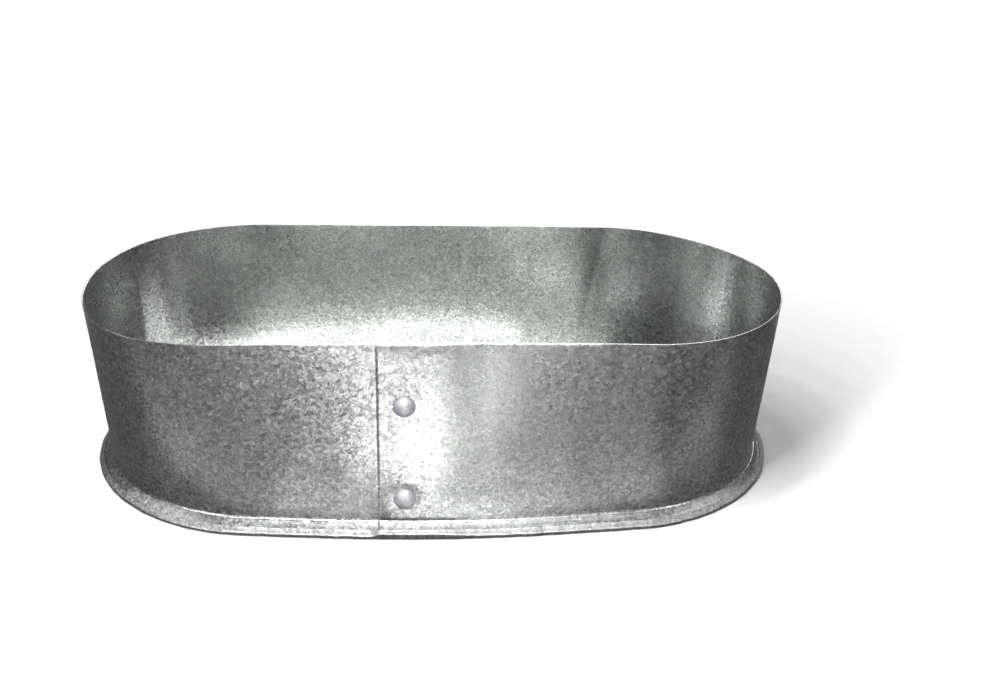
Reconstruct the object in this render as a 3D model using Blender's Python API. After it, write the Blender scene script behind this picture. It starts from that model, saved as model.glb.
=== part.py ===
"""Oval livestock water trough of thin galvanised steel sheet.

One body sheet is wrapped into an oval and lapped on the front face, where two
mushroom-head rivets hold the lap.  Its foot is turned outward as a flange, and
the edge of the base sheet is folded up and over that flange.  Sealant fills the
lap and beds the flange on the base sheet.

Frame: metres, +Z up, the trough stands on z = 0, +X along its length, and the
lapped front face looks along -Y.  The origin is under the middle of the base.
"""
import math

import bmesh
import bpy
from mathutils import Vector

MM = 0.001

# ---- driving dimensions -----------------------------------------------------
RIM_LENGTH = 600 * MM        # outside, end to end
RIM_WIDTH = 270 * MM         # outside, at the tangent points of the round ends
HEIGHT = 161 * MM            # floor to raw top edge
FOOT_LENGTH = 587 * MM       # outside of the wall just above the flange
FOOT_WIDTH = 264 * MM
SHEET = 0.9 * MM             # thickness of both sheets
GAP = 0.3 * MM               # clearance kept between touching pieces
SEALANT = 0.2 * MM           # thickness of the sealant film

# how far the long sides bow outward at mid length (negative: inward)
RIM_FRONT_BOW = -7 * MM
RIM_BACK_BOW = 2.5 * MM
FOOT_BOW = 16 * MM
# how full the wrapped sheet stands at the four shoulders of the rim
RIM_FULLNESS = {"front_left": 6 * MM, "front_right": 0.5 * MM,
                "back_right": -5.5 * MM, "back_left": 2 * MM}

# lap seam on the front face
LAP_EDGE_X = -53 * MM        # visible edge of the outer layer
LAP_END_X = -13 * MM         # hidden edge of the inner layer
LAP_RAMP_START_X = -10 * MM  # where the outer layer begins to come back to the oval
LAP_RAMP_END_X = 34 * MM     # where it is back
LAP_GAP = 2 * GAP + SEALANT
LAP_LIFT = SHEET + LAP_GAP   # how far the outer layer stands off the oval

# turned-out foot of the body sheet
FOOT_RADIUS = 7 * MM         # on the outer, hollow side of the bend
FLANGE_SLOPE = math.radians(22)
FLANGE_REACH = 11.2 * MM     # from the foot of the wall to the flange's edge

# folded edge of the base sheet
HEM_REACH = FLANGE_REACH + GAP + SHEET
HEM_LIP = 5.5 * MM             # width of the part that lies on the flange
HEM_CORNER = 1.2 * MM        # outer bends of the fold
HEM_STEP = 8 * MM            # run in which the fold climbs onto the lap, left of its edge

# sealant
BASE_SEALANT_REACH = 5.5 * MM    # inner edge of the bedding, from the foot of the wall
LAP_SEALANT_MARGIN = 2 * MM      # kept clear along the edges of the lap
LAP_SEALANT_TOP = 0.9            # how far up the wall it goes, as a share of its height

# rivets
RIVET_X = -32 * MM
RIVET_HEIGHTS = {"rivet_upper": 110 * MM, "rivet_lower": 30 * MM}
RIVET_SHANK_RADIUS = 4 * MM
RIVET_HOLE_RADIUS = RIVET_SHANK_RADIUS + GAP
RIVET_HEAD_RADIUS = 9 * MM
RIVET_HEAD_HEIGHT = 4.5 * MM
RIVET_TAIL_RADIUS = 6.5 * MM
RIVET_TAIL_HEIGHT = 2.5 * MM
RIVET_HEAD_EDGE = 0.6 * MM   # straight edge under the domes
RIVET_SEGMENTS = 32

# mesh resolution
END_SEGMENTS = 28            # round each end of the oval
BACK_SEGMENTS = 14
BEND_SEGMENTS = 5

# ---- derived dimensions -----------------------------------------------------
END_RADIUS = RIM_WIDTH / 2
HALF_SIDE = RIM_LENGTH / 2 - END_RADIUS
END_ARC = math.pi * END_RADIUS
LOOP = 4 * HALF_SIDE + 2 * END_ARC
FLANGE_ANGLE = math.pi / 2 - FLANGE_SLOPE
FLANGE_EDGE_Z = SHEET + 2 * GAP + SEALANT + SHEET   # top of the flange at its edge


# ---- helpers ----------------------------------------------------------------
def clear_scene():
    for old in list(bpy.data.objects):
        bpy.data.objects.remove(old, do_unlink=True)


def make_material(name, colour, roughness, metallic):
    material = bpy.data.materials.new(name)
    material.use_nodes = True
    shader = material.node_tree.nodes["Principled BSDF"]
    shader.inputs["Base Color"].default_value = (*colour, 1.0)
    shader.inputs["Roughness"].default_value = roughness
    shader.inputs["Metallic"].default_value = metallic
    return material


def make_object(name, vertices, faces, material, sharp_degrees=35):
    mesh = bpy.data.meshes.new(name)
    mesh.from_pydata([tuple(v) for v in vertices], [], faces)
    shape = bmesh.new()
    shape.from_mesh(mesh)
    bmesh.ops.recalc_face_normals(shape, faces=shape.faces)
    shape.to_mesh(mesh)
    shape.free()
    mesh.materials.append(material)
    mesh.shade_smooth()
    mesh.set_sharp_from_angle(angle=math.radians(sharp_degrees))
    thing = bpy.data.objects.new(name, mesh)
    bpy.context.scene.collection.objects.link(thing)
    return thing


def spread(start, stop, count):
    """count evenly spaced values from start up to, but not including, stop."""
    return [start + (stop - start) * i / count for i in range(count)]


def smoothstep(x):
    x = min(max(x, 0.0), 1.0)
    return x * x * (3 - 2 * x)


# ---- the oval ---------------------------------------------------------------
# A station is a distance along the rim's oval, from the middle of the front
# face towards +X and on round the back.  All outlines share their stations.
def outline_point(station, length, width, front_bow, back_bow, fullness):
    radius = width / 2
    half_side = length / 2 - radius
    s = station % LOOP
    if s > LOOP / 2:
        mirror = -1
        s = LOOP - s
    else:
        mirror = 1
    # s now runs from the front middle round the +X end to the back middle
    if s < HALF_SIDE:
        x = half_side * s / HALF_SIDE
        y = -radius
    elif s < HALF_SIDE + END_ARC:
        turn = (s - HALF_SIDE) / END_RADIUS
        shoulder = ("front_" if turn < math.pi / 2 else "back_")
        shoulder += "right" if mirror > 0 else "left"
        reach = radius + fullness.get(shoulder, 0.0) * math.sin(2 * turn) ** 2
        x = half_side + reach * math.sin(turn)
        y = -reach * math.cos(turn)
    else:
        x = half_side * (LOOP / 2 - s) / HALF_SIDE
        y = radius
    bow = front_bow if y < 0 else back_bow
    y *= 1 + bow / radius * math.cos(math.pi * x / length) ** 2
    return Vector((mirror * x, y, 0.0))


def rim_point(station):
    point = outline_point(station, RIM_LENGTH, RIM_WIDTH, RIM_FRONT_BOW, RIM_BACK_BOW,
                          RIM_FULLNESS)
    return point + Vector((0, 0, HEIGHT))


def foot_point(station):
    return outline_point(station, FOOT_LENGTH, FOOT_WIDTH, FOOT_BOW, FOOT_BOW, {})


def outward(curve, station, step=0.5 * MM):
    along = curve(station + step) - curve(station - step)
    along.normalize()
    return Vector((along.y, -along.x, 0.0))


def station_of_front_x(x):
    """Station on the front face whose foot point has this x."""
    return x * HALF_SIDE / (FOOT_LENGTH / 2 - FOOT_WIDTH / 2)


LAP_EDGE = station_of_front_x(LAP_EDGE_X)
LAP_END = station_of_front_x(LAP_END_X)
LAP_RAMP_START = station_of_front_x(LAP_RAMP_START_X)
LAP_RAMP_END = station_of_front_x(LAP_RAMP_END_X)


def loop_stations():
    """Stations once round the oval, starting at the visible edge of the lap."""
    stations = spread(LAP_EDGE, LAP_END, 5)
    stations += spread(LAP_END, LAP_RAMP_START, 1)
    stations += spread(LAP_RAMP_START, LAP_RAMP_END, 5)
    stations += spread(LAP_RAMP_END, HALF_SIDE, 6)
    stations += spread(HALF_SIDE, HALF_SIDE + END_ARC, END_SEGMENTS)
    stations += spread(HALF_SIDE + END_ARC, 3 * HALF_SIDE + END_ARC, BACK_SEGMENTS)
    stations += spread(3 * HALF_SIDE + END_ARC, 3 * HALF_SIDE + 2 * END_ARC, END_SEGMENTS)
    stations += spread(3 * HALF_SIDE + 2 * END_ARC, LOOP + LAP_EDGE - HEM_STEP, 5)
    stations += spread(LOOP + LAP_EDGE - HEM_STEP, LOOP + LAP_EDGE, 1)
    return stations


def lap_lift(station):
    """Stand-off of the body sheet's outer layer from the oval."""
    ramp = (station - LAP_RAMP_START) / (LAP_RAMP_END - LAP_RAMP_START)
    return LAP_LIFT * (1 - smoothstep(ramp))


def hem_lift(station):
    """Rise of the hem where it closes over the doubled flange of the lap."""
    s = station % LOOP
    if s > LOOP / 2:
        s -= LOOP
    if s < LAP_EDGE:
        return LAP_LIFT * smoothstep((s - LAP_EDGE) / HEM_STEP + 1)
    return lap_lift(s)


# ---- sections of the sheets -------------------------------------------------
def wall_lean(station):
    """Angle by which the wall leans outward towards its foot."""
    run = (foot_point(station) - rim_point(station)).dot(outward(foot_point, station))
    return math.atan2(run, HEIGHT - FOOT_RADIUS)


def flange_top(reach):
    """Height of the flange's top face at a reach from the foot of the wall."""
    return FLANGE_EDGE_Z + (FLANGE_REACH - reach) * math.tan(FLANGE_SLOPE)


def bend_centre(lean):
    """Centre of the foot bend as (reach, z)."""
    centre_x = FOOT_RADIUS * math.cos(lean)
    tangent_x = centre_x - FOOT_RADIUS * math.cos(FLANGE_ANGLE)
    return centre_x, flange_top(tangent_x) + FOOT_RADIUS * math.sin(FLANGE_ANGLE)


def body_skin(station, offset):
    """One face of the body sheet at a station, from the rim to the flange's edge.

    offset is measured from the oval along the sheet's outward, upward normal.
    """
    foot = foot_point(station)
    out = outward(foot_point, station)
    lean = wall_lean(station)
    centre_x, centre_z = bend_centre(lean)
    radius = FOOT_RADIUS - offset
    bend = []
    for i in range(BEND_SEGMENTS + 1):
        angle = lean + (FLANGE_ANGLE - lean) * i / BEND_SEGMENTS
        reach = centre_x - radius * math.cos(angle)
        bend.append(foot + out * reach + Vector((0, 0, centre_z - radius * math.sin(angle))))
    rim = rim_point(station) + outward(rim_point, station) * offset
    middle = (rim + bend[0]) / 2
    edge_z = FLANGE_EDGE_Z + offset / math.sin(FLANGE_ANGLE)
    edge = foot + out * FLANGE_REACH + Vector((0, 0, edge_z))
    return [rim, middle] + bend + [edge]


def band(sections, closed):
    """Vertices and faces of a solid swept through closed section loops."""
    count = len(sections[0])
    vertices = [v for section in sections for v in section]
    faces = []
    joins = len(sections) if closed else len(sections) - 1
    for i in range(joins):
        this = i * count
        following = ((i + 1) % len(sections)) * count
        for k in range(count):
            after = (k + 1) % count
            faces.append((this + k, this + after, following + after, following + k))
    return vertices, faces


def cap_strip(first, count):
    """Quads that close one end of a sheet whose section has two matching faces."""
    return [(first + k, first + k + 1, first + count - 2 - k, first + count - 1 - k)
            for k in range(count // 2 - 1)]


# ---- rivets -----------------------------------------------------------------
def rivet_frame(height):
    """Place of a rivet on the outer face of the lap: point and outward normal."""
    station = station_of_front_x(RIVET_X)
    skin = body_skin(station, LAP_LIFT)
    share = (height - skin[2].z) / (skin[0].z - skin[2].z)
    point = skin[2].lerp(skin[0], share)
    neighbour = body_skin(station + MM, LAP_LIFT)
    along = neighbour[2].lerp(neighbour[0], share) - point
    up = skin[0] - skin[2]
    normal = along.cross(up).normalized()
    return point, normal


def dome(radius, height, floor, rings):
    """Profile of a dome from its top to its edge, as (radius, level)."""
    ball = (radius ** 2 + height ** 2) / (2 * height)
    sweep = math.asin(radius / ball) if height < radius else math.pi / 2
    return [(ball * math.sin(sweep * i / rings),
             floor + height - ball * (1 - math.cos(sweep * i / rings)))
            for i in range(1, rings + 1)]


def turned(name, profile, point, normal, material):
    """Solid of revolution about normal; profile runs from one pole to the other."""
    turn = normal.to_track_quat('Z', 'Y')
    vertices = [point + turn @ Vector((0, 0, profile[0][1]))]
    for radius, level in profile[1:-1]:
        for i in range(RIVET_SEGMENTS):
            angle = 2 * math.pi * i / RIVET_SEGMENTS
            local = Vector((radius * math.cos(angle), radius * math.sin(angle), level))
            vertices.append(point + turn @ local)
    vertices.append(point + turn @ Vector((0, 0, profile[-1][1])))
    last = len(vertices) - 1
    rings = len(profile) - 2
    faces = []
    for i in range(RIVET_SEGMENTS):
        after = (i + 1) % RIVET_SEGMENTS
        faces.append((0, 1 + i, 1 + after))
        for ring in range(rings - 1):
            upper = 1 + ring * RIVET_SEGMENTS
            lower = upper + RIVET_SEGMENTS
            faces.append((upper + i, lower + i, lower + after, upper + after))
        lowest = 1 + (rings - 1) * RIVET_SEGMENTS
        faces.append((last, lowest + after, lowest + i))
    return make_object(name, vertices, faces, material)


def make_rivet(name, height, material):
    """Mushroom head outside, shank through the lap, hammered tail inside."""
    point, normal = rivet_frame(height)
    grip = LAP_LIFT + SHEET
    head_under = GAP
    tail_under = -grip - GAP
    head = dome(RIVET_HEAD_RADIUS, RIVET_HEAD_HEIGHT - RIVET_HEAD_EDGE,
                head_under + RIVET_HEAD_EDGE, 6)
    tail = dome(RIVET_TAIL_RADIUS, RIVET_TAIL_HEIGHT - RIVET_HEAD_EDGE, RIVET_HEAD_EDGE, 4)
    profile = [(0.0, head_under + RIVET_HEAD_HEIGHT)] + head
    profile += [(RIVET_HEAD_RADIUS, head_under)]
    profile += [(RIVET_SHANK_RADIUS, head_under), (RIVET_SHANK_RADIUS, tail_under)]
    profile += [(RIVET_TAIL_RADIUS, tail_under)]
    profile += [(radius, tail_under - level) for radius, level in reversed(tail)]
    profile += [(0.0, tail_under - RIVET_TAIL_HEIGHT)]
    return turned(name, profile, point, normal, material)


def punch_rivet_holes(sheet):
    """Cut the rivet holes through a sheet, across both layers of the lap."""
    for name, height in RIVET_HEIGHTS.items():
        point, normal = rivet_frame(height)
        reach = 3 * LAP_LIFT
        profile = [(0.0, reach), (RIVET_HOLE_RADIUS, reach), (RIVET_HOLE_RADIUS, -reach),
                   (0.0, -reach)]
        cutter = turned(sheet.name + "_hole_for_" + name, profile, point, normal,
                        sheet.data.materials[0])
        cutter.hide_render = True
        cutter.display_type = 'WIRE'
        hole = sheet.modifiers.new("hole_for_" + name, 'BOOLEAN')
        hole.operation = 'DIFFERENCE'
        hole.solver = 'EXACT'
        hole.object = cutter


# ---- sub-parts --------------------------------------------------------------
def make_wall_sheet(material):
    """Body sheet: starts as the lap's outer layer and ends as its inner layer."""
    once = loop_stations()
    again = [s + LOOP for s in once if s <= LAP_END + 0.01 * MM]
    sections = []
    for station in once + again:
        offset = lap_lift(station)
        outer = body_skin(station, offset)
        inner = body_skin(station, offset - SHEET)
        sections.append(outer + inner[::-1])
    vertices, faces = band(sections, closed=False)
    count = len(sections[0])
    faces += cap_strip(0, count)
    faces += cap_strip((len(sections) - 1) * count, count)
    wall = make_object("wall_sheet", vertices, faces, material)
    punch_rivet_holes(wall)
    return wall


def hem_section(station):
    """Section of the folded edge of the base sheet, as points in space."""
    foot = foot_point(station)
    out = outward(foot_point, station)
    lift = hem_lift(station) / math.sin(FLANGE_ANGLE)
    inner = HEM_REACH - SHEET
    lip_end = HEM_REACH - HEM_LIP
    outer_corner_top = flange_top(HEM_REACH - HEM_CORNER) + GAP + SHEET + lift
    chamfer = HEM_CORNER * (1 - math.sqrt(0.5))
    profile = [(HEM_REACH - HEM_CORNER, 0.0),
               (HEM_REACH - chamfer, chamfer),
               (HEM_REACH, HEM_CORNER),
               (HEM_REACH, outer_corner_top - HEM_CORNER),
               (HEM_REACH - chamfer, outer_corner_top - chamfer),
               (HEM_REACH - HEM_CORNER, outer_corner_top),
               (lip_end, flange_top(lip_end) + GAP + SHEET + lift),
               (lip_end, flange_top(lip_end) + GAP + lift),
               (inner, flange_top(inner) + GAP + lift),
               (inner, SHEET)]
    return [foot + out * reach + Vector((0, 0, z)) for reach, z in profile]


def make_base_sheet(material):
    """Flat oval bottom whose edge is folded up and over the flange."""
    sections = [hem_section(station) for station in loop_stations()]
    count = len(sections[0])
    vertices = [v for section in sections for v in section]
    faces = []
    for i in range(len(sections)):
        this = i * count
        following = ((i + 1) % len(sections)) * count
        for k in range(count - 1):
            faces.append((this + k, this + k + 1, following + k + 1, following + k))
    faces.append([i * count for i in range(len(sections))])
    faces.append([i * count + count - 1 for i in range(len(sections))])
    return make_object("base_sheet", vertices, faces, material)


def make_base_seam_sealant(material):
    """Wedge of sealant that beds the flange on the base sheet."""
    drop = (SHEET + GAP) / math.sin(FLANGE_ANGLE)
    inner_top = flange_top(FOOT_RADIUS) - drop
    sections = []
    for station in loop_stations():
        foot = foot_point(station)
        out = outward(foot_point, station)
        profile = [(FLANGE_REACH - GAP, SHEET + GAP),
                   (FLANGE_REACH - GAP, flange_top(FLANGE_REACH - GAP) - drop),
                   (FOOT_RADIUS, inner_top),
                   (BASE_SEALANT_REACH, inner_top),
                   (BASE_SEALANT_REACH, SHEET + GAP)]
        sections.append([foot + out * reach + Vector((0, 0, z)) for reach, z in profile])
    vertices, faces = band(sections, closed=True)
    return make_object("base_seam_sealant", vertices, faces, material)


def make_lap_seam_sealant(material):
    """Film of sealant between the two layers of the lap."""
    start = LAP_EDGE + LAP_SEALANT_MARGIN
    stop = LAP_END - LAP_SEALANT_MARGIN
    sections = []
    for station in spread(start, stop, 5) + [stop]:
        strip = []
        for offset in (GAP + SEALANT, GAP):
            skin = body_skin(station, offset)
            top = skin[2].lerp(skin[0], LAP_SEALANT_TOP)
            strip.append((top, skin[1], skin[2]))
        outer, inner = strip
        sections.append(list(outer) + list(inner[::-1]))
    vertices, faces = band(sections, closed=False)
    count = len(sections[0])
    faces += cap_strip(0, count)
    faces += cap_strip((len(sections) - 1) * count, count)
    film = make_object("lap_seam_sealant", vertices, faces, material)
    punch_rivet_holes(film)
    return film


def main():
    clear_scene()
    galvanised = (0.42, 0.43, 0.42)
    make_wall_sheet(make_material("wall_galvanised_steel", galvanised, 0.42, 1.0))
    make_base_sheet(make_material("base_galvanised_steel", galvanised, 0.42, 1.0))
    for name, height in RIVET_HEIGHTS.items():
        rivet_steel = make_material(name + "_steel", (0.46, 0.45, 0.47), 0.35, 1.0)
        make_rivet(name, height, rivet_steel)
    make_lap_seam_sealant(make_material("lap_sealant", (0.30, 0.30, 0.29), 0.8, 0.0))
    make_base_seam_sealant(make_material("base_sealant", (0.30, 0.30, 0.29), 0.8, 0.0))


main()
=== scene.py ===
import math

import bmesh
import bpy
import numpy as np
from mathutils import Euler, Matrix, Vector, noise


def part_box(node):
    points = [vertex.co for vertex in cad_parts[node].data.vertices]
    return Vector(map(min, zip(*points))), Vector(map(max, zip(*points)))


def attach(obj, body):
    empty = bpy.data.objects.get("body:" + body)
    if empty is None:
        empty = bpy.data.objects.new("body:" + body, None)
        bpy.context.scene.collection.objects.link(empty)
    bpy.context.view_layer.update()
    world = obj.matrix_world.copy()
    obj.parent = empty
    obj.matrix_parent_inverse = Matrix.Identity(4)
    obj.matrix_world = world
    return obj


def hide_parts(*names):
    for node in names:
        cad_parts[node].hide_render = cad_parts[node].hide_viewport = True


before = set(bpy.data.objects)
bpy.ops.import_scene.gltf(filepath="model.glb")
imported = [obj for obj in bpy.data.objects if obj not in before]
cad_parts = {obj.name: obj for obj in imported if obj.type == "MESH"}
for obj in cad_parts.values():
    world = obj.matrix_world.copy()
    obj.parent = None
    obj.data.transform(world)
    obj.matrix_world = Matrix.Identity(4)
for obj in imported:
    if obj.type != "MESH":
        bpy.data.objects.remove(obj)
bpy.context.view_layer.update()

MM = 0.001

# ---- sizes taken from the frame -------------------------------------------------
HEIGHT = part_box("wall_sheet")[1][2]
BASE_SIZE = np.subtract(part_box("base_sheet")[1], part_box("base_sheet")[0])

# ---- sizes of the design that the frame's boxes do not give (as in the CAD) -------
SHEET = 0.9 * MM
GAP = 0.3 * MM
SEALANT = 0.2 * MM
RIM_LENGTH = 600 * MM
RIM_WIDTH = 270 * MM
RIM_FRONT_BOW = -7 * MM
RIM_BACK_BOW = 2.5 * MM
# how far each quarter of the rim bulges past a plain oval
RIM_FULLNESS = {"front_left": 6 * MM, "front_right": 0.5 * MM,
                "back_right": -5.5 * MM, "back_left": 2 * MM}
FLANGE_REACH = 11.2 * MM
HEM_REACH = FLANGE_REACH + GAP + SHEET
FOOT_BOW = 16 * MM
FOOT_LENGTH = BASE_SIZE[0] - 2 * HEM_REACH
FOOT_WIDTH = BASE_SIZE[1] - 2 * (HEM_REACH + FOOT_BOW)
FOOT_RADIUS = 4.2 * MM              # tighter than in the CAD
FLANGE_SLOPE = math.radians(34)     # steeper than in the CAD
FLANGE_ANGLE = math.pi / 2 - FLANGE_SLOPE
FLANGE_EDGE_Z = 2 * SHEET + 2 * GAP + SEALANT
LAP_EDGE_X = -53 * MM
LAP_END_X = -13 * MM
LAP_RAMP_START_X = -10 * MM
LAP_RAMP_END_X = 34 * MM
LAP_LIFT = SHEET + 2 * GAP + SEALANT
LAP_TIGHT = SHEET + 0.15 * MM       # stand-off where the lap is pressed shut
LAP_TIGHT_RUN = 2.2 * MM            # along the sheet, from the visible edge
EDGE_THINNING = 0.75                # share of the sheet pressed away at that edge
EDGE_THINNING_RUN = 1.2 * MM
LAP_TIGHT_TOP = 0.07                # share of the wall under the rim
RIM_ROUNDING = 0.2 * MM
HEM_LIP = 5.5 * MM
HEM_CORNER = 1.6 * MM               # radius of the folded edge, below and above
LIP_CURL = 0.5 * MM                 # the lip stands a little off the flange
LIP_SHORT = 1.2 * MM                # the lip ends this much sooner, and twice that at the lap

# ---- the oval ---------------------------------------------------------------------
END_RADIUS = RIM_WIDTH / 2
HALF_SIDE = RIM_LENGTH / 2 - END_RADIUS
END_ARC = math.pi * END_RADIUS
LOOP = 4 * HALF_SIDE + 2 * END_ARC
FOOT_SIDE_SHARE = HALF_SIDE / (FOOT_LENGTH / 2 - FOOT_WIDTH / 2)
LAP_EDGE = LAP_EDGE_X * FOOT_SIDE_SHARE
LAP_END = LAP_END_X * FOOT_SIDE_SHARE
LAP_RAMP_START = LAP_RAMP_START_X * FOOT_SIDE_SHARE
LAP_RAMP_END = LAP_RAMP_END_X * FOOT_SIDE_SHARE


def smoothstep(x):
    x = np.clip(x, 0.0, 1.0)
    return x * x * (3 - 2 * x)


def outline(stations, length, width, front_bow, back_bow, fullness):
    """Points (x, y) of an oval at stations: distances along the rim from the front middle."""
    radius = width / 2
    half_side = length / 2 - radius
    s = np.mod(stations, LOOP)
    mirror = np.where(s > LOOP / 2, -1.0, 1.0)
    s = np.where(s > LOOP / 2, LOOP - s, s)
    turn = np.clip((s - HALF_SIDE) / END_RADIUS, 0.0, math.pi)
    front = turn < math.pi / 2
    right = mirror > 0
    full = np.where(front, np.where(right, fullness["front_right"], fullness["front_left"]),
                    np.where(right, fullness["back_right"], fullness["back_left"]))
    reach = radius + full * np.sin(2 * turn) ** 2
    near = np.minimum(s, HALF_SIDE) / HALF_SIDE
    far = np.minimum(LOOP / 2 - s, HALF_SIDE) / HALF_SIDE
    straight_x = half_side * np.where(s < LOOP / 4, near, far)
    x = straight_x + reach * np.sin(turn)
    y = -reach * np.cos(turn)
    bow = np.where(y < 0, front_bow, back_bow)
    y = y * (1 + bow / radius * np.cos(math.pi * x / length) ** 2)
    return np.stack([mirror * x, y], axis=-1)


def rim_outline(stations):
    return outline(stations, RIM_LENGTH, RIM_WIDTH, RIM_FRONT_BOW, RIM_BACK_BOW, RIM_FULLNESS)


def foot_outline(stations):
    even = dict.fromkeys(RIM_FULLNESS, 0.0)
    return outline(stations, FOOT_LENGTH, FOOT_WIDTH, FOOT_BOW, FOOT_BOW, even)


def outward(curve, stations, step=0.5 * MM):
    along = curve(stations + step) - curve(stations - step)
    along /= np.linalg.norm(along, axis=-1, keepdims=True)
    return np.stack([along[..., 1], -along[..., 0]], axis=-1)


def even_stations(start, stop, pitch):
    return np.linspace(start, stop, int(math.ceil((stop - start) / pitch)) + 1)


# ---- hand-made unevenness -----------------------------------------------------------
def ripple(points, size, seed):
    """Smooth noise of about -1..1 with features of the given size, one value per point."""
    flat = points.reshape(-1, 3) / size + seed
    values = [noise.noise(Vector(p)) for p in flat]
    return np.array(values).reshape(points.shape[:-1])


def facets(stations, pitch, seed):
    """Hammer marks along the edge: a random level for each blow, rounded between blows."""
    rng = np.random.default_rng(seed)
    blows = rng.uniform(-1, 1, int(LOOP / pitch) + 3)
    place = np.mod(stations, LOOP) / pitch
    low = np.floor(place).astype(int)
    mix = smoothstep((place - low - 0.35) / 0.3)
    return blows[low] * (1 - mix) + blows[low + 1] * mix


# ---- the body sheet -------------------------------------------------------------------
RIVET_X = -31.5 * MM
RIVET_HEIGHTS = {"rivet_upper": 110 * MM, "rivet_lower": 30 * MM}
DIMPLE_DEPTH = 1.15 * MM
DIMPLE_RADIUS = 17 * MM
DIMPLE_FLOOR = 6 * MM
DIMPLE_STRETCH = (1.1, 0.9)         # along the wall and up it
WALL_ROWS = 44
BEND_ROWS = 12
FLANGE_ROWS = 6
STATION_PITCH = 2.6 * MM
LAP_EDGE_PITCH = 0.5 * MM           # finer columns where the lap's edge is pressed
BEAD_HEIGHT = 0.45 * MM             # fine ridge where the bend meets the flange
BEAD_ROWS = 1.1
# waves in the wall: (height, width, seed); the broad ones run up the wall more slowly than round
BROAD_WAVES = ((0.55 * MM, 95 * MM, 3.7), (0.22 * MM, 34 * MM, 11.3))
FINE_WAVE = (0.05 * MM, 13 * MM, 23.9)
WAVE_STRETCH = 0.35
RIM_WAVE = (0.35 * MM, 70 * MM, 5.1)
RIM_WAVE_ROWS = 6
# radial wrinkles of the flange round the ends of the oval
WRINKLE_HEIGHT = 0.10 * MM
WRINKLE_PITCH = 3.4 * MM
WRINKLE_BEAT = (12 * MM, 8.8)       # width and seed of their coming and going
WRINKLE_START_X = 130 * MM
WRINKLE_FULL_X = 220 * MM
# hammer marks: (pitch, seed)
FLANGE_BLOWS = (9 * MM, 4)
FLANGE_BLOW_DEPTH = 0.10 * MM
# places where the sheet kinks a little from rim to foot: (share of the oval, lean, depth)
CREASES = ((0.395, 0.010, 0.35 * MM), (0.437, -0.012, 0.25 * MM), (0.480, 0.004, 0.2 * MM),
           (0.600, 0.006, 0.3 * MM), (0.640, -0.004, 0.3 * MM), (0.700, 0.0, 0.25 * MM),
           (0.345, 0.0, 0.25 * MM), (0.300, 0.0, 0.2 * MM))
CREASE_WIDTH = 7 * MM


def flange_top(reach):
    return FLANGE_EDGE_Z + (FLANGE_REACH - reach) * math.tan(FLANGE_SLOPE)


def lap_ramp(stations):
    """1 on the outer layer of the lap, falling to 0 where the sheet is back on the oval."""
    return 1 - smoothstep((stations - LAP_RAMP_START) / (LAP_RAMP_END - LAP_RAMP_START))


def lap_lift(stations, share):
    """Stand-off of the outer layer; share runs from 0 at the rim to 1 at the foot and on to 2."""
    from_edge = smoothstep((stations - LAP_EDGE) / LAP_TIGHT_RUN)
    from_rim = smoothstep(share / LAP_TIGHT_TOP)
    on_flange = smoothstep((share - 1.0) / 0.3)
    open_share = from_edge * from_rim * (1 - on_flange)
    return lap_ramp(stations) * (LAP_TIGHT + (LAP_LIFT - LAP_TIGHT) * open_share)


def dimple(points):
    """Dent hammered round the lower rivet."""
    centre = np.array([RIVET_X, RIVET_HEIGHTS["rivet_lower"]])
    away = points[..., [0, 2]] - centre
    far = np.linalg.norm(away / np.array(DIMPLE_STRETCH), axis=-1)
    on_front = points[..., 1] < 0
    depth = 1 - smoothstep((far - DIMPLE_FLOOR) / (DIMPLE_RADIUS - DIMPLE_FLOOR))
    return np.where(on_front, -DIMPLE_DEPTH * depth, 0.0)


def body_skin(stations, depth):
    """One face of the body sheet, as rows x stations x 3; depth is measured into the sheet."""
    foot = foot_outline(stations)
    foot_out = outward(foot_outline, stations)
    rim = rim_outline(stations)
    rim_out = outward(rim_outline, stations)
    lean = np.arctan2(((foot - rim) * foot_out).sum(-1), HEIGHT - FOOT_RADIUS)
    centre_x = FOOT_RADIUS * np.cos(lean)
    centre_z = flange_top(centre_x - FOOT_RADIUS * math.cos(FLANGE_ANGLE))
    centre_z = centre_z + FOOT_RADIUS * math.sin(FLANGE_ANGLE)

    def bend_row(share):
        offset = lap_lift(stations, 1 + share) - depth
        angle = lean + (FLANGE_ANGLE - lean) * share
        radius = FOOT_RADIUS - offset
        reach = centre_x - radius * np.cos(angle)
        plan = foot + foot_out * reach[:, None]
        return np.concatenate([plan, (centre_z - radius * np.sin(angle))[:, None]], axis=1)

    foot_row = bend_row(0.0)
    rows = []
    for i in range(WALL_ROWS):
        share = i / WALL_ROWS
        offset = (lap_lift(stations, share) - depth)[:, None]
        out = rim_out * (1 - share) + foot_out * share
        bare = np.concatenate([rim * (1 - share) + foot_row[:, :2] * share,
                               (HEIGHT * (1 - share) + foot_row[:, 2] * share)[:, None]], axis=1)
        foot_offset = (lap_lift(stations, 1.0) - depth)[:, None] * share
        bare[:, :2] += out * (offset - foot_offset)
        rows.append(bare)
    for i in range(BEND_ROWS + 1):
        rows.append(bend_row(i / BEND_ROWS))
    bend_end = rows[-1]
    edge_offset = lap_lift(stations, 2.0) - depth
    edge_z = FLANGE_EDGE_Z + edge_offset / math.sin(FLANGE_ANGLE)
    edge = np.concatenate([foot + foot_out * FLANGE_REACH, edge_z[:, None]], axis=1)
    for i in range(1, FLANGE_ROWS + 1):
        rows.append(bend_end + (edge - bend_end) * i / FLANGE_ROWS)
    return np.array(rows), rim_out, foot_out


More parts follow.
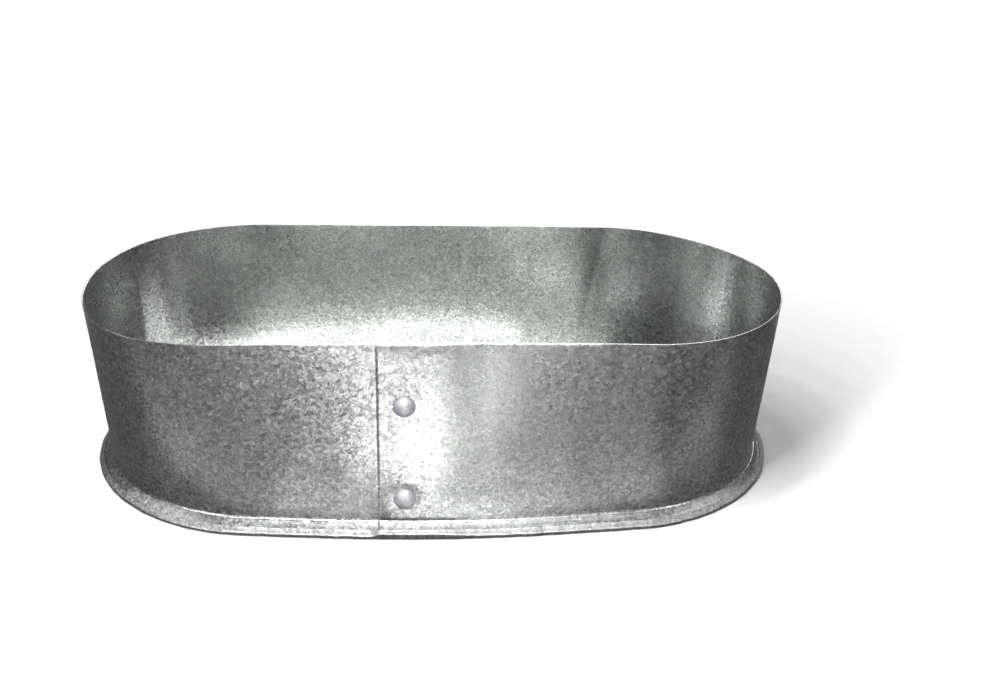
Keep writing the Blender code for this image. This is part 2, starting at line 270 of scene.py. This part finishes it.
def uneven(rows, rim_out, foot_out, stations):
    """Adds the slow waves, creases, dimple and flange wrinkles of hand-worked sheet."""
    count = rows.shape[0]
    share = np.clip(np.arange(count) / WALL_ROWS, 0, 1)[:, None]
    out = rim_out[None] * (1 - share[..., None]) + foot_out[None] * share[..., None]
    on_wall = smoothstep((1.0 - share) * 8)
    flat = rows.copy()
    plan = flat * np.array([1.0, 1.0, 0.0])
    stretched = flat * np.array([1.0, 1.0, WAVE_STRETCH])
    height, width, seed = FINE_WAVE
    wave = height * ripple(flat, width, seed)
    for height, width, seed in BROAD_WAVES:
        wave += height * ripple(stretched, width, seed)
    for at, leaning, depth in CREASES:
        line = (at + leaning * (share - 0.5)) * LOOP
        near = (np.mod(stations, LOOP)[None] - line) / CREASE_WIDTH
        wave += depth * np.exp(-np.abs(near) * (1 + 0.5 * np.abs(near)))
    push = on_wall * wave + dimple(flat)
    rows[..., :2] += out * push[..., None]
    # the raw edge is not quite level
    near_rim = smoothstep(1 - np.arange(count)[:, None] / RIM_WAVE_ROWS)
    height, width, seed = RIM_WAVE
    rows[..., 2] += near_rim * height * ripple(plan[:1], width, seed)
    # bead at the bottom of the bend
    row = np.arange(count)[:, None] - WALL_ROWS - BEND_ROWS
    rows[..., 2] += BEAD_HEIGHT * np.exp(-(row / BEAD_ROWS) ** 2)
    # flange wrinkles, radial, mostly round the ends
    end = smoothstep((np.abs(flat[..., 0]) - WRINKLE_START_X) / (WRINKLE_FULL_X - WRINKLE_START_X))
    on_flange = smoothstep((np.arange(count)[:, None] - WALL_ROWS - 4) / 6)
    phase = np.mod(stations, LOOP)[None] / WRINKLE_PITCH * math.pi
    beat = 0.6 + 0.4 * ripple(plan, *WRINKLE_BEAT)
    rows[..., 2] += on_flange * end * WRINKLE_HEIGHT * np.sin(phase) * beat
    rows[..., 2] += on_flange * FLANGE_BLOW_DEPTH * facets(stations, *FLANGE_BLOWS)[None]
    return rows


SHARP_EDGE = math.radians(40)


def new_piece(name, vertices, faces, material):
    mesh = bpy.data.meshes.new(name)
    mesh.from_pydata([tuple(v) for v in vertices], [], faces)
    shape = bmesh.new()
    shape.from_mesh(mesh)
    bmesh.ops.recalc_face_normals(shape, faces=shape.faces)
    shape.to_mesh(mesh)
    shape.free()
    mesh.materials.append(material)
    mesh.shade_smooth()
    mesh.set_sharp_from_angle(angle=SHARP_EDGE)
    piece = bpy.data.objects.new(name, mesh)
    bpy.context.scene.collection.objects.link(piece)
    return piece


def grid_faces(columns, rows, around, along):
    """Quads of a grid stored column by column; around closes a column, along closes the row."""
    faces = []
    for i in range(columns if along else columns - 1):
        this = i * rows
        following = ((i + 1) % columns) * rows
        for k in range(rows if around else rows - 1):
            after = (k + 1) % rows
            faces.append((this + k, this + after, following + after, following + k))
    return faces


def make_body_sheet(material, inner_material):
    start = even_stations(LAP_EDGE, LAP_EDGE + 2 * LAP_TIGHT_RUN, LAP_EDGE_PITCH)[:-1]
    round_loop = even_stations(LAP_EDGE + 2 * LAP_TIGHT_RUN, LOOP + LAP_END, STATION_PITCH)
    stations = np.concatenate([start, round_loop])
    outer, rim_out, foot_out = body_skin(stations, 0.0)
    inner, _, _ = body_skin(stations, SHEET)
    # the visible edge of the lap is pressed thin
    thin = EDGE_THINNING * (1 - smoothstep((stations - LAP_EDGE) / EDGE_THINNING_RUN))
    outer = outer + (inner - outer) * thin[None, :, None]
    outer = uneven(outer, rim_out, foot_out, stations)
    inner = uneven(inner, rim_out, foot_out, stations)
    # rounded raw edge at the rim
    out3 = np.concatenate([rim_out, np.zeros((len(stations), 1))], axis=1)
    top_outer = outer[0] - out3 * RIM_ROUNDING
    top_inner = inner[0] + out3 * RIM_ROUNDING
    outer[0, :, 2] -= RIM_ROUNDING
    inner[0, :, 2] -= RIM_ROUNDING
    section = np.concatenate([top_outer[None], outer, inner[::-1], top_inner[None]])
    rows = section.shape[0]
    columns = len(stations)
    vertices = section.transpose(1, 0, 2).reshape(-1, 3)
    faces = grid_faces(columns, rows, around=True, along=False)
    for first in (0, (columns - 1) * rows):
        for k in range(rows // 2 - 1):
            faces.append((first + k, first + k + 1, first + rows - 2 - k, first + rows - 1 - k))
    body = new_piece("body_sheet_surface", vertices, faces, material)
    body.data.materials.append(inner_material)
    for face in body.data.polygons:
        if face.index < (columns - 1) * rows and face.index % rows >= rows // 2:
            face.material_index = 1
    return body


# ---- the base sheet ---------------------------------------------------------------------
BASE_PITCH = 2.4 * MM
HEM_CLIMB = 2.5 * MM                # run in which the hem climbs onto the lap
HEM_INNER_DROP = 0.2 * MM           # inner corner of the fold, under the lip
# hammer marks: (pitch, seed), and how deep they go at each place
HEM_BLOWS = (8.5 * MM, 12)
HEM_BLOW_DEPTH = 0.25 * MM
LIP_BLOW_DEPTH = 0.12 * MM
HEM_SMALL_BLOWS = (3.1 * MM, 31)
LIP_END_BLOW_DEPTH = 0.35 * MM
HEM_EDGE_BLOW_DEPTH = 0.15 * MM
LIP_SHARES = (0.35, 0.7, 1.0)
FLOOR_RING_SHARES = (0.9, 0.75, 0.55, 0.35, 0.15)


def hem_lift(stations):
    """Rise of the hem over the doubled flange of the lap."""
    s = np.mod(stations, LOOP)
    s = np.where(s > LOOP / 2, s - LOOP, s)
    climb = smoothstep((s - LAP_EDGE) / HEM_CLIMB + 1)
    return LAP_LIFT * np.where(s < LAP_EDGE, climb, lap_ramp(s))


def make_base_sheet(material, inner_material):
    stations = even_stations(0, LOOP, BASE_PITCH)[:-1]
    foot = foot_outline(stations)
    out = outward(foot_outline, stations)
    lift = hem_lift(stations) / math.sin(FLANGE_ANGLE)
    blows = facets(stations, *HEM_BLOWS)
    small_blows = facets(stations, *HEM_SMALL_BLOWS)
    reach = HEM_REACH + HEM_BLOW_DEPTH * blows
    lap = np.clip(hem_lift(stations) / LAP_LIFT, 0, 1)
    lip_end = HEM_REACH - HEM_LIP + LIP_SHORT * (1 + lap) + LIP_END_BLOW_DEPTH * small_blows
    edge_top = flange_top(HEM_REACH - HEM_CORNER) + GAP + SHEET + lift
    edge_top = edge_top + HEM_EDGE_BLOW_DEPTH * small_blows
    corner = HEM_CORNER
    profile = []
    for turn in np.linspace(-math.pi / 2, 0, 5):
        level = np.full_like(reach, corner + corner * math.sin(turn))
        profile.append((reach - corner + corner * math.cos(turn), level))
    for turn in np.linspace(0, FLANGE_ANGLE, 6):
        profile.append((reach - corner + corner * math.cos(turn),
                        edge_top - corner + corner * math.sin(turn)))
    lip_top = edge_top + (reach - lip_end - corner) * math.tan(FLANGE_SLOPE)
    lip_top = lip_top - LIP_BLOW_DEPTH * blows
    start_reach, start_z = profile[-1]
    for share in LIP_SHARES:
        profile.append((start_reach + (lip_end - start_reach) * share,
                        start_z + (lip_top - start_z) * share + LIP_CURL * share ** 2))
    profile.append((lip_end, lip_top + LIP_CURL - SHEET))
    inner = reach - SHEET
    profile.append((inner, edge_top - SHEET - HEM_INNER_DROP))
    profile.append((inner, np.full_like(reach, SHEET)))
    section = []
    for reach_k, z_k in profile:
        plan = foot + out * reach_k[:, None]
        section.append(np.concatenate([plan, z_k[:, None]], axis=1))
    # floor of the trough, drawn in to the middle in rings
    edge = section[-1]
    for share in FLOOR_RING_SHARES:
        section.append(edge * np.array([share, share, 1.0]))
    section = np.array(section)
    rows = section.shape[0]
    columns = len(stations)
    vertices = section.transpose(1, 0, 2).reshape(-1, 3)
    faces = grid_faces(columns, rows, around=False, along=True)
    faces.append([i * rows for i in range(columns)])
    faces.append([i * rows + rows - 1 for i in range(columns)])
    base = new_piece("base_sheet_surface", vertices, faces, material)
    base.data.materials.append(inner_material)
    for face in base.data.polygons:
        middle = face.center
        if middle.z > 0.5 * SHEET and face.normal.z > 0.9 and len(face.vertices) > 3:
            reach = math.hypot(max(abs(middle.x) - FOOT_LENGTH / 2 + FOOT_WIDTH / 2, 0), middle.y)
            if reach < FOOT_WIDTH / 2 + FOOT_BOW:
                face.material_index = 1
    return base


# ---- rivets --------------------------------------------------------------------------------
RIVET_SEGMENTS = 64
RIVET_HEAD_RADIUS = 9 * MM
RIVET_HEAD_HEIGHT = 4.5 * MM
RIVET_TAIL_RADIUS = 6.5 * MM
RIVET_TAIL_HEIGHT = 2.5 * MM
RIVET_SHANK_RADIUS = 4 * MM
RIVET_CLEARANCE = 0.12 * MM         # between the rivet and the sheets
RIVET_EDGE = 0.5 * MM               # height of the upright edge under each dome
RIVET_EDGE_BULGE = 0.05 * MM
RIVET_EDGE_CHAMFER = 0.2 * MM
HEAD_RINGS = 22
TAIL_RINGS = 8
RIVET_LUMPS = (0.008, 260.0, 90.0)  # share of the size, lumps per metre, shift between rivets
TURNING_DEPTH = 0.06 * MM           # rings left by the turning tool
TURNING_PITCH = 1.15 * MM


def rivet_place(height):
    """Point on the outer face of the lap and outward normal there."""
    station = RIVET_X * FOOT_SIDE_SHARE
    stations = np.array([station - MM, station, station + MM])
    rows, _, _ = body_skin(stations, 0.0)
    column = rows[:WALL_ROWS, 1]
    k = int(np.argmin(np.abs(column[:, 2] - height)))
    share = (height - column[k, 2]) / (column[k - 1, 2] - column[k, 2])
    point = column[k] + (column[k - 1] - column[k]) * share
    along = Vector(rows[k, 2] - rows[k, 0])
    up = Vector(column[k - 1] - column[k])
    normal = along.cross(up).normalized()
    sunk = float(dimple(point[None])[0])
    return Vector(point) + normal * sunk, normal


def dome(radius, height, rings):
    """(radius, level) from the crown to the edge of a dome that stands on level 0."""
    ball = (radius ** 2 + height ** 2) / (2 * height)
    sweep = math.asin(radius / ball)
    points = []
    for i in range(1, rings + 1):
        angle = sweep * i / rings
        points.append((ball * math.sin(angle), height - ball * (1 - math.cos(angle))))
    return points


def make_rivet(name, node, height, material):
    point, normal = rivet_place(height)
    under = RIVET_CLEARANCE
    edge = RIVET_EDGE
    tail_top = -(LAP_LIFT + SHEET) - RIVET_CLEARANCE
    profile = [(0.0, under + RIVET_HEAD_HEIGHT)]
    for radius, level in dome(RIVET_HEAD_RADIUS, RIVET_HEAD_HEIGHT - edge, HEAD_RINGS):
        turning = TURNING_DEPTH * math.cos(radius / TURNING_PITCH * math.pi)
        profile.append((radius, level + under + edge + turning * (1 - radius / RIVET_HEAD_RADIUS)))
    profile.append((RIVET_HEAD_RADIUS + RIVET_EDGE_BULGE, under + edge / 2))
    profile.append((RIVET_HEAD_RADIUS - RIVET_EDGE_CHAMFER, under))
    profile.append((RIVET_SHANK_RADIUS, under))
    profile.append((RIVET_SHANK_RADIUS, tail_top))
    profile.append((RIVET_TAIL_RADIUS, tail_top))
    for radius, level in reversed(dome(RIVET_TAIL_RADIUS, RIVET_TAIL_HEIGHT - edge, TAIL_RINGS)):
        profile.append((radius, tail_top - edge - level))
    profile.append((0.0, tail_top - RIVET_TAIL_HEIGHT))
    turn = normal.to_track_quat('Z', 'Y')
    lump, lumps_per_metre, shift = RIVET_LUMPS
    apart = Vector((height * shift, 0, 0))
    vertices = [point + turn @ Vector((0, 0, profile[0][1]))]
    for radius, level in profile[1:-1]:
        for i in range(RIVET_SEGMENTS):
            angle = 2 * math.pi * i / RIVET_SEGMENTS
            local = Vector((radius * math.cos(angle), radius * math.sin(angle), level))
            local *= 1 + lump * noise.noise(local * lumps_per_metre + apart)
            vertices.append(point + turn @ local)
    vertices.append(point + turn @ Vector((0, 0, profile[-1][1])))
    rings = len(profile) - 2
    last = len(vertices) - 1
    faces = []
    for i in range(RIVET_SEGMENTS):
        after = (i + 1) % RIVET_SEGMENTS
        faces.append((0, 1 + i, 1 + after))
        for ring in range(rings - 1):
            upper = 1 + ring * RIVET_SEGMENTS
            lower = upper + RIVET_SEGMENTS
            faces.append((upper + i, lower + i, lower + after, upper + after))
        lowest = 1 + (rings - 1) * RIVET_SEGMENTS
        faces.append((last, lowest + after, lowest + i))
    piece = new_piece(name, vertices, faces, material)
    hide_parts(node)
    return piece


# ---- materials --------------------------------------------------------------------------------
class Nodes:
    """Short-hand for building a node tree."""

    def __init__(self, name):
        self.material = bpy.data.materials.new(name)
        self.material.use_nodes = True
        self.tree = self.material.node_tree
        self.shader = self.tree.nodes["Principled BSDF"]

    def add(self, kind, inputs=(), **settings):
        node = self.tree.nodes.new(kind)
        for key, value in settings.items():
            setattr(node, key, value)
        for key, value in dict(inputs).items():
            if isinstance(value, bpy.types.NodeSocket):
                self.tree.links.new(value, node.inputs[key])
            else:
                node.inputs[key].default_value = value
        return node

    def math(self, operation, a, b=0.0):
        return self.add("ShaderNodeMath", {0: a, 1: b}, operation=operation).outputs[0]

    def product(self, *factors):
        result = factors[0]
        for factor in factors[1:]:
            result = self.math('MULTIPLY', result, factor)
        return result

    def vector(self, operation, *inputs):
        values = dict(enumerate(inputs))
        return self.add("ShaderNodeVectorMath", values, operation=operation).outputs[0]

    def scaled(self, vector, amount):
        return self.add("ShaderNodeVectorMath", {0: vector, "Scale": amount},
                        operation='SCALE').outputs[0]

    def centred(self, colour, amount):
        """A random colour as a vector round zero, amount long from side to side."""
        return self.scaled(self.vector('SUBTRACT', colour, (0.5, 0.5, 0.5)), amount)

    def noise(self, place, scale, detail=2.0, roughness=0.5):
        return self.add("ShaderNodeTexNoise", {"Vector": place, "Scale": scale, "Detail": detail,
                                               "Roughness": roughness})

    def object_place(self):
        return self.add("ShaderNodeTexCoord").outputs["Object"]

    def remap(self, value, low, high, new_low, new_high):
        return self.add("ShaderNodeMapRange", {"Value": value, "From Min": low, "From Max": high,
                                               "To Min": new_low, "To Max": new_high}).outputs[0]

    def mottle(self, value, low, high, light, contrast=1.0):
        """A value as a brightness: 1 - light[0] where it is low, 1 + light[1] where it is high."""
        return self.remap(value, low, high, 1 - light[0] * contrast, 1 + light[1] * contrast)

    def link(self, output, key):
        self.tree.links.new(output, self.shader.inputs[key])


# spangled zinc: scales are features per metre, light and depth are shares of the brightness
WOBBLE_SCALE = 300.0
WOBBLE = 2.5 * MM
CELLS_PER_METRE = 1000.0            # divided by the crystal's size in mm
SMALL_CELLS_PER_METRE = 2200.0
CELL_LIGHT = (0.27, 0.23)           # how much darker the darkest is, and lighter the lightest
SMALL_CELL_LIGHT = (0.23, 0.18)
SMALL_CELL_LEAN = 0.8               # beside the lean of a large crystal
FLECK_SCALE = 650.0
FLECK_LIGHT = (0.26, 0.26)
CLOUD_SCALE = 17.0
CLOUD_LIGHT = (0.10, 0.10)
VEIN_SCALE = 300.0
VEIN_WIDTH = 0.03
VEIN_DEPTH = 0.42
VEIN_BREAKS = (0.35, 0.65)          # crystals between these values fade the veins in
SCRATCH_SCALE = (9.0, 9.0, 900.0)
SCRATCH_LIGHT = 0.16
SCRATCH_RANGE = (0.66, 0.74)
CELL_ROUGHNESS = 0.07               # either side of the sheet's roughness
FLECK_ROUGHNESS = 0.05
NOISE_LOW = 0.3                     # where nearly all of a noise texture's values lie
NOISE_HIGH = 0.7


def galvanised(name, tint, crystal=2.6, roughness=0.34, scratches=1.0, sparkle=0.05,
               contrast=1.0):
    """Spangled zinc on rolled sheet: crystals, mottle, slow clouds, scratches along the roll."""
    n = Nodes(name)
    place = n.object_place()
    wobble = n.noise(place, WOBBLE_SCALE).outputs["Color"]
    bent = n.vector('ADD', place, n.centred(wobble, WOBBLE))
    cells = n.add("ShaderNodeTexVoronoi", {"Vector": bent, "Scale": CELLS_PER_METRE / crystal})
    small = n.add("ShaderNodeTexVoronoi", {"Vector": bent,
                                           "Scale": SMALL_CELLS_PER_METRE / crystal})
    fleck = n.noise(bent, FLECK_SCALE, 3.0, 0.65).outputs["Fac"]
    cloud = n.noise(place, CLOUD_SCALE, 3.0, 0.55).outputs["Fac"]
    cell_value = n.add("ShaderNodeSeparateColor", {0: cells.outputs["Color"]})
    small_value = n.add("ShaderNodeSeparateColor", {0: small.outputs["Color"]})
    # brightness of each crystal, broken up by flecks and slow clouds
    light = n.mottle(cell_value.outputs[0], 0.0, 1.0, CELL_LIGHT, contrast)
    light_small = n.mottle(small_value.outputs[0], 0.0, 1.0, SMALL_CELL_LIGHT, contrast)
    light_fleck = n.mottle(fleck, NOISE_LOW, NOISE_HIGH, FLECK_LIGHT, contrast)
    light_cloud = n.mottle(cloud, NOISE_LOW, NOISE_HIGH, CLOUD_LIGHT)
    # short dark lines between the fern-like crystals
    vein = n.noise(bent, VEIN_SCALE, 1.0).outputs["Fac"]
    vein = n.math('ABSOLUTE', n.math('SUBTRACT', vein, 0.5))
    vein = n.remap(vein, 0.0, VEIN_WIDTH, 1.0, 0.0)
    broken = n.remap(small_value.outputs[1], *VEIN_BREAKS, 0.0, VEIN_DEPTH * contrast)
    light_cloud = n.math('SUBTRACT', light_cloud, n.product(vein, broken))
    bright = n.product(light, light_small, light_fleck, light_cloud)
    # scratches: thin lines round the tub
    stretch = n.add("ShaderNodeMapping", {"Vector": place, "Scale": SCRATCH_SCALE}).outputs[0]
    lines = n.noise(stretch, 1.0, 2.0, 0.6).outputs["Fac"]
    scratch = n.remap(lines, *SCRATCH_RANGE, 0.0, 1.0)
    bright = n.math('ADD', bright, n.product(scratch, SCRATCH_LIGHT * scratches))
    n.link(n.scaled(tint, bright), "Base Color")
    rough = n.remap(cell_value.outputs[1], 0.0, 1.0, roughness - CELL_ROUGHNESS,
                    roughness + CELL_ROUGHNESS)
    rough_fleck = n.remap(fleck, NOISE_LOW, NOISE_HIGH, FLECK_ROUGHNESS, -FLECK_ROUGHNESS)
    rough = n.math('ADD', rough, rough_fleck)
    n.link(rough, "Roughness")
    # every crystal leans its own way, so neighbours catch the light differently
    facing = n.add("ShaderNodeNewGeometry").outputs["Normal"]
    facing = n.vector('ADD', facing, n.centred(cells.outputs["Color"], sparkle))
    facing = n.vector('ADD', facing, n.centred(small.outputs["Color"],
                                                sparkle * SMALL_CELL_LEAN))
    facing = n.vector('NORMALIZE', facing)
    height = n.math('ADD', n.product(fleck, 0.6), n.product(scratch, -0.3))
    bump = n.add("ShaderNodeBump", {"Height": height, "Strength": 0.25, "Distance": 0.4 * MM,
                                    "Normal": facing}).outputs[0]
    n.link(bump, "Normal")
    n.shader.inputs["Metallic"].default_value = 1.0
    return n.material


def rivet_metal(name):
    """Zinc-plated rivet: smooth hammered dome, slightly violet."""
    n = Nodes(name)
    place = n.object_place()
    grain = n.noise(place, 900.0, 4.0, 0.6).outputs["Fac"]
    patch = n.noise(place, 260.0).outputs["Fac"]
    bright = n.product(n.remap(grain, NOISE_LOW, NOISE_HIGH, 0.88, 1.1),
                       n.remap(patch, NOISE_LOW, NOISE_HIGH, 0.85, 1.12))
    n.link(n.scaled((0.50, 0.49, 0.52), bright), "Base Color")
    n.link(n.remap(patch, NOISE_LOW, NOISE_HIGH, 0.50, 0.62), "Roughness")
    bump = n.add("ShaderNodeBump", {"Height": grain, "Strength": 0.3, "Distance": 0.3 * MM})
    n.link(bump.outputs[0], "Normal")
    n.shader.inputs["Metallic"].default_value = 1.0
    return n.material


def mastic(name):
    """Grey seam sealant with a soft, slightly lumpy surface."""
    n = Nodes(name)
    lumps = n.noise(n.object_place(), 350.0, 3.0).outputs["Fac"]
    bright = n.remap(lumps, NOISE_LOW, NOISE_HIGH, 0.8, 1.15)
    n.link(n.scaled((0.20, 0.20, 0.19), bright), "Base Color")
    n.link(n.remap(lumps, NOISE_LOW, NOISE_HIGH, 0.6, 0.85), "Roughness")
    bump = n.add("ShaderNodeBump", {"Height": lumps, "Strength": 0.5, "Distance": 0.5 * MM})
    n.link(bump.outputs[0], "Normal")
    return n.material


# ---- camera, floor and light ------------------------------------------------------------------
CAMERA_PLACE = (-0.0283, -0.8919, 0.5334)
CAMERA_DEGREES = (64.353, -1.973, -4.314)
LENS_MM = 39.62
SENSOR_MM = 36.0
FLOOR_HALF = 40.0
FLOOR_LEVEL = -0.1 * MM
BACKDROP_RADIUS = 20.0
BACKDROP_LEVELS = (-0.5, 15.0)
BACKDROP_SIDES = 48
WORLD_STRENGTH = 0.108
AIM = (0.0, 0.0, 0.05)
CARD_LEVEL = 4 * MM
# lamps aimed at the trough: (name, place, diameter, watts)
LAMPS = (
    ("flash", (-0.03, -1.12, 0.84), 0.10, 6.0),
    ("flash_left", (-0.12, -1.12, 0.84), 0.10, 2.2),
    ("flash_far_left", (-0.30, -1.08, 0.84), 0.10, 1.9),
    ("flash_high", (-0.12, -0.98, 1.0), 0.10, 0.5),
    ("left_soft", (-1.2, -1.2, 0.5), 0.8, 7.8),
    ("right_soft", (1.2, -1.2, 0.5), 0.8, 5.2),
    ("front_low", (0.0, -1.7, 0.3), 1.0, 0.9),
    ("overhead", (0.0, 0.0, 2.2), 1.2, 4.9),
    ("overhead_front", (0.0, -1.5, 1.8), 1.2, 16.6),
    ("overhead_left", (-1.5, 0.0, 1.6), 1.2, 5.2),
    ("overhead_right", (1.5, 0.0, 1.6), 1.2, 4.7),
    ("rear", (0.0, 1.5, 1.6), 1.2, 17.0),
    ("rear_right", (0.8, 1.3, 1.6), 1.2, 18.0),
    ("rear_low", (0.3, 1.9, 0.6), 1.2, 20.0))
# light cards that lie level and face up: (name, left, right, back edge, front edge, radiance)
CARDS = (
    # on the floor in front, brightest opposite the rivets
    ("card_wide", -0.50, 0.50, -0.165, -0.22, 0.22),
    ("card_corner_left", -0.36, -0.25, -0.12, -0.20, 0.08),
    ("card_corner_right", 0.25, 0.36, -0.12, -0.20, 0.12),
    ("card_outer_left", -0.40, -0.15, -0.165, -1.3, 0.15),
    ("card_near_left", -0.15, -0.06, -0.165, -0.27, 0.65),
    ("card_near", -0.04, 0.06, -0.165, -0.27, 1.4),
    ("card_near_right", 0.06, 0.12, -0.165, -0.42, 0.65),
    ("card_right", 0.12, 0.22, -0.165, -0.42, 0.33),
    ("card_mid_left", -0.09, -0.06, -0.27, -0.42, 3.8),
    ("card_mid", -0.03, 0.0, -0.27, -0.42, 9.0),
    ("card_mid_wide", -0.06, 0.03, -0.27, -0.42, 1.5),
    ("card_far", -0.03, 0.03, -0.42, -0.75, 8.4),
    ("card_farthest", -0.07, 0.01, -0.75, -1.3, 7.0),
    # pooled on the bottom of the trough
    ("pool", -0.19, 0.09, 0.094, 0.060, 1.5),
    ("pool_left", -0.19, -0.13, 0.092, 0.05, 0.9),
    ("pool_front", -0.12, 0.09, -0.04, -0.11, 0.25),
    ("pool_front_right", 0.09, 0.16, -0.04, -0.11, 1.0),
    # on the floor behind, for the far side of the trough
    ("card_behind", -0.70, 0.70, 1.4, 0.20, 0.30))
# lights that only the floor receives: (degrees above the floor, azimuth, strength)
FLOOR_SUNS = ((20, -137, 0.18), (25, -137, 0.56), (31, -139, 0.70), (38, -143, 0.66),
              (46, -148, 0.71), (56, -158, 0.85), (65, -168, 0.70),
              (74, 178, 0.65), (88, -137, 1.50))
SUN_DISTANCE = 3.0
SUN_SPREAD = math.radians(6)


def make_camera():
    data = bpy.data.cameras.new("camera")
    data.sensor_width = SENSOR_MM
    data.lens = LENS_MM
    camera = bpy.data.objects.new("camera", data)
    camera.location = CAMERA_PLACE
    camera.rotation_euler = Euler([math.radians(a) for a in CAMERA_DEGREES], 'XYZ')
    bpy.context.scene.collection.objects.link(camera)
    bpy.context.scene.camera = camera


def make_floor():
    mesh = bpy.data.meshes.new("floor")
    corners = [(-1, -1), (1, -1), (1, 1), (-1, 1)]
    vertices = [(FLOOR_HALF * x, FLOOR_HALF * y, FLOOR_LEVEL) for x, y in corners]
    mesh.from_pydata(vertices, [], [(0, 1, 2, 3)])
    floor = bpy.data.objects.new("floor", mesh)
    bpy.context.scene.collection.objects.link(floor)
    n = Nodes("floor_pale")
    grain = n.noise(n.object_place(), 60.0).outputs["Fac"]
    n.link(n.remap(grain, 0.0, 1.0, 0.58, 0.62), "Base Color")
    n.shader.inputs["Roughness"].default_value = 0.9
    n.shader.inputs["Specular IOR Level"].default_value = 0.0
    mesh.materials.append(n.material)
    floor.visible_glossy = False
    return floor


def make_backdrop():
    """White wall far away round the trough, seen by the camera only."""
    radius = BACKDROP_RADIUS
    sides = BACKDROP_SIDES
    vertices = []
    for level in BACKDROP_LEVELS:
        for i in range(sides):
            angle = 2 * math.pi * i / sides
            vertices.append((radius * math.cos(angle), radius * math.sin(angle), level))
    faces = [(i, (i + 1) % sides, sides + (i + 1) % sides, sides + i) for i in range(sides)]
    mesh = bpy.data.meshes.new("backdrop")
    mesh.from_pydata(vertices, [], faces)
    backdrop = bpy.data.objects.new("backdrop", mesh)
    bpy.context.scene.collection.objects.link(backdrop)
    n = Nodes("backdrop_white")
    n.shader.inputs["Base Color"].default_value = (0.0, 0.0, 0.0, 1.0)
    n.shader.inputs["Emission Color"].default_value = (1.0, 1.0, 1.0, 1.0)
    n.shader.inputs["Emission Strength"].default_value = 1.0
    mesh.materials.append(n.material)
    backdrop.visible_glossy = False
    backdrop.visible_diffuse = False
    backdrop.visible_shadow = False
    backdrop.visible_transmission = False


def add_light(name, data, location, target):
    light = bpy.data.objects.new(name, data)
    light.location = location
    aim = Vector(target) - Vector(location)
    light.rotation_euler = aim.to_track_quat('-Z', 'Y').to_euler()
    light.visible_camera = False
    bpy.context.scene.collection.objects.link(light)
    return light


def round_light(name, location, size, watts):
    data = bpy.data.lights.new(name, 'AREA')
    data.shape = 'DISK'
    data.size = size
    data.energy = watts
    return add_light(name, data, location, AIM)


def light_card(name, left, right, back, front, radiance):
    """Flat light that lies low and faces up; only the metal mirrors it."""
    data = bpy.data.lights.new(name, 'AREA')
    data.shape = 'RECTANGLE'
    data.size = right - left
    data.size_y = back - front
    data.energy = math.pi * data.size * data.size_y * radiance
    place = ((left + right) / 2, (back + front) / 2, CARD_LEVEL)
    return add_light(name, data, place, (place[0], place[1], 1.0))


def set_receivers(light, things, state):
    """Lets a light fall on these things only, or on all but these."""
    group = bpy.data.collections.new(light.name + "_receivers")
    for thing in things:
        group.objects.link(thing)
    light.light_linking.receiver_collection = group
    for entry in group.collection_objects:
        entry.light_linking.link_state = state


def make_light(floor):
    lights = [round_light(*lamp) for lamp in LAMPS]
    lights += [light_card(*card) for card in CARDS]
    for light in lights:
        set_receivers(light, [floor], 'EXCLUDE')
    for elevation, azimuth, strength in FLOOR_SUNS:
        data = bpy.data.lights.new("floor_key", 'SUN')
        data.angle = SUN_SPREAD
        data.energy = strength
        azimuth = math.radians(azimuth)
        height = math.radians(elevation)
        flat = SUN_DISTANCE * math.cos(height)
        place = (flat * math.cos(azimuth), flat * math.sin(azimuth),
                 SUN_DISTANCE * math.sin(height))
        set_receivers(add_light("floor_key", data, place, (0.0, 0.0, 0.0)), [floor], 'INCLUDE')
    world = bpy.data.worlds.new("studio")
    world.use_nodes = True
    background = world.node_tree.nodes["Background"]
    background.inputs[0].default_value = (1.0, 1.0, 1.0, 1.0)
    background.inputs[1].default_value = WORLD_STRENGTH
    bpy.context.scene.world = world
    bpy.context.scene.view_settings.view_transform = 'Standard'


def main():
    sheet_metal = galvanised("galvanised_body", (0.50, 0.51, 0.50))
    base_metal = galvanised("galvanised_base", (0.52, 0.53, 0.52), crystal=2.0,
                            roughness=0.46, scratches=0.0)
    floor_metal = galvanised("galvanised_inner_floor", (0.62, 0.63, 0.62), roughness=0.17,
                             scratches=0.0, sparkle=0.03)
    inside_metal = galvanised("galvanised_inside", (0.50, 0.51, 0.50), crystal=2.0,
                              roughness=0.24, scratches=0.3, sparkle=0.04, contrast=0.88)
    body = make_body_sheet(sheet_metal, inside_metal)
    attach(body, "root")
    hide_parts("wall_sheet")
    base = make_base_sheet(base_metal, floor_metal)
    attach(base, "root")
    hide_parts("base_sheet")
    steel = rivet_metal("rivet_zinc")
    for node, height in RIVET_HEIGHTS.items():
        rivet = make_rivet(node + "_surface", node, height, steel)
        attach(rivet, "root")
    sealant = mastic("seam_mastic")
    for node in ("lap_seam_sealant", "base_seam_sealant"):
        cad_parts[node].data.materials.clear()
        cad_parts[node].data.materials.append(sealant)
    make_camera()
    make_backdrop()
    make_light(make_floor())


main()
